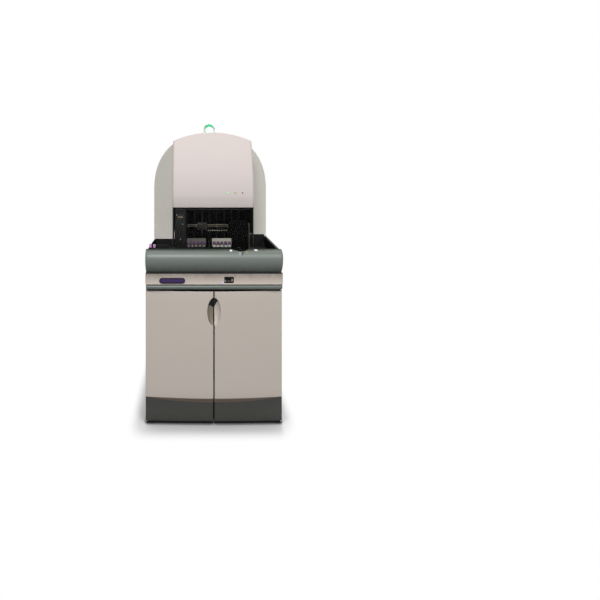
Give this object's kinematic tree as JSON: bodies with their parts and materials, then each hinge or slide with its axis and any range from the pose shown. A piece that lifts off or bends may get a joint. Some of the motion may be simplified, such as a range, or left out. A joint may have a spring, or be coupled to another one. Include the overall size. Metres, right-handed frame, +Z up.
{
  "type": "hematology analyzer",
  "caption": "Floor-standing blood cell analyzer: cabinet with bow-fronted doors, tube trays behind a bumper, lifting hood with smoked window, arched rear housing.",
  "frame": {"origin": "on the floor, midway across the width and midway through the depth", "axes": "+X to the operator's right, +Y from front to back, +Z up"},
  "size_m": [0.762, 0.813, 1.757],
  "materials": {
    "warm_white": "fine moulded texture",
    "door_beige": "fine textured coat",
    "cool_grey": "fine moulded texture",
    "slate_green": "fine moulded texture",
    "kick_grey": "moulded, scuffed low down",
    "bay_black": "satin black",
    "board_grey": "coated board",
    "steel": "brushed",
    "foot_rubber": "matte",
    "smoked_glass": "smoked, glossy",
    "plate_plum": "domed label",
    "tank_white": "translucent bottle plastic",
    "waste_amber": "translucent bottle plastic",
    "module_grey": "painted module case",
    "board_green": "circuit boards in a cage",
    "cassette_grey": "moulded",
    "lamp_green": "lit lens",
    "lamp_amber": "unlit lens",
    "lamp_red": "unlit lens",
    "lamp_blue": "lit lens",
    "beacon_clear": "frosted clear, lit green at the crown"
  },
  "bodies": {
    "root": {"cabinet_left_side": "door_beige", "cabinet_right_side": "door_beige", "cabinet_back": "board_grey", "cabinet_floor": "board_grey", "cabinet_shelf": "board_grey", "cabinet_top": "board_grey", "left_lower_pivot": "steel", "right_lower_pivot": "steel", "door_catch": "bay_black", "diluent_container": "tank_white", "waste_container": "waste_amber", "lyse_container": "tank_white", "air_supply": "module_grey", "trim_bar": "slate_green", "lower_front_band": "warm_white", "name_plate": "plate_plum", "power_light": "lamp_blue", "front_bumper": "slate_green", "chassis_base": "board_grey", "tray_deck": "bay_black", "left_tray_rim": "slate_green", "right_tray_rim": "slate_green", "station_housing": "bay_black", "arch_face": "cool_grey", "left_side_cover": "cool_grey", "right_side_cover": "cool_grey", "vault_cover": "cool_grey", "rear_cover": "cool_grey", "power_supply": "module_grey", "board_cage": "board_green", "hood_hinge_bracket": "steel", "bay_back_wall": "bay_black", "bay_left_column": "bay_black", "transport_rail": "module_grey", "optics_module": "module_grey", "pump_module": "module_grey", "beacon_base": "slate_green", "beacon_lens": "beacon_clear"},
    "left_door_leaf": {"left_door": "door_beige", "left_kick_plate": "kick_grey"},
    "right_door_leaf": {"right_door": "door_beige", "right_kick_plate": "kick_grey"},
    "hood": {"hood_cover": "warm_white", "smoked_window": "smoked_glass", "ready_light": "lamp_green", "busy_light": "lamp_amber", "fault_light": "lamp_red", "hood_hinge_leaf": "steel"},
    "rocker": {"power_rocker": "bay_black"},
    "turret": {"tube_turret": "bay_black"},
    "carriage": {"probe_carriage": "module_grey"},
    "probe": {"aspiration_probe": "steel"},
    "bay_cassette_left": {"left_cassette": "cassette_grey"},
    "bay_cassette_right": {"right_cassette": "cassette_grey"},
    "tray_cassette_body": {"tray_cassette": "cassette_grey"},
    "foot_front_left": {"front_left_foot": "foot_rubber"},
    "foot_front_right": {"front_right_foot": "foot_rubber"},
    "foot_rear_left": {"rear_left_foot": "foot_rubber"},
    "foot_rear_right": {"rear_right_foot": "foot_rubber"}
  },
  "joints": [
    {"name": "left_door_hinge", "type": "hinge", "parent": "root", "child": "left_door_leaf", "pos_m": [-0.369, -0.3555, 0.38], "axis": [0, 0, -1], "range_deg": [0, 110]},
    {"name": "right_door_hinge", "type": "hinge", "parent": "root", "child": "right_door_leaf", "pos_m": [0.369, -0.3555, 0.38], "axis": [0, 0, 1], "range_deg": [0, 110]},
    {"name": "hood_hinge", "type": "hinge", "parent": "root", "child": "hood", "pos_m": [0, -0.0605, 1.6648], "axis": [-1, 0, 0], "range_deg": [0, 68]},
    {"name": "power_rocker_hinge", "type": "hinge", "parent": "root", "child": "rocker", "pos_m": [0.082, -0.3688, 0.809], "axis": [-1, 0, 0], "range_deg": [0, 10]},
    {"name": "turret_turn", "type": "hinge", "parent": "root", "child": "turret", "pos_m": [0.151, -0.3365, 0.95], "axis": [0, 0, 1], "range_deg": [0, 180]},
    {"name": "carriage_slide", "type": "slide", "parent": "root", "child": "carriage", "axis": [1, 0, 0], "range_m": [-0.055, 0.1]},
    {"name": "probe_slide", "type": "slide", "parent": "carriage", "child": "probe", "axis": [0, 0, 1], "range_m": [-0.045, 0]},
    {"name": "left_cassette_lift", "type": "slide", "parent": "root", "child": "bay_cassette_left", "axis": [0, 0, 1], "range_m": [0, 0.1]},
    {"name": "right_cassette_lift", "type": "slide", "parent": "root", "child": "bay_cassette_right", "axis": [0, 0, 1], "range_m": [0, 0.1]},
    {"name": "tray_cassette_lift", "type": "slide", "parent": "root", "child": "tray_cassette_body", "axis": [0, 0, 1], "range_m": [0, 0.15]},
    {"name": "front_left_foot_turn", "type": "hinge", "parent": "root", "child": "foot_front_left", "pos_m": [-0.305, -0.2705, 0.01], "axis": [0, 0, 1], "continuous": true},
    {"name": "front_right_foot_turn", "type": "hinge", "parent": "root", "child": "foot_front_right", "pos_m": [0.305, -0.2705, 0.01], "axis": [0, 0, 1], "continuous": true},
    {"name": "rear_left_foot_turn", "type": "hinge", "parent": "root", "child": "foot_rear_left", "pos_m": [-0.305, 0.34, 0.01], "axis": [0, 0, 1], "continuous": true},
    {"name": "rear_right_foot_turn", "type": "hinge", "parent": "root", "child": "foot_rear_right", "pos_m": [0.305, 0.34, 0.01], "axis": [0, 0, 1], "continuous": true}
  ]
}
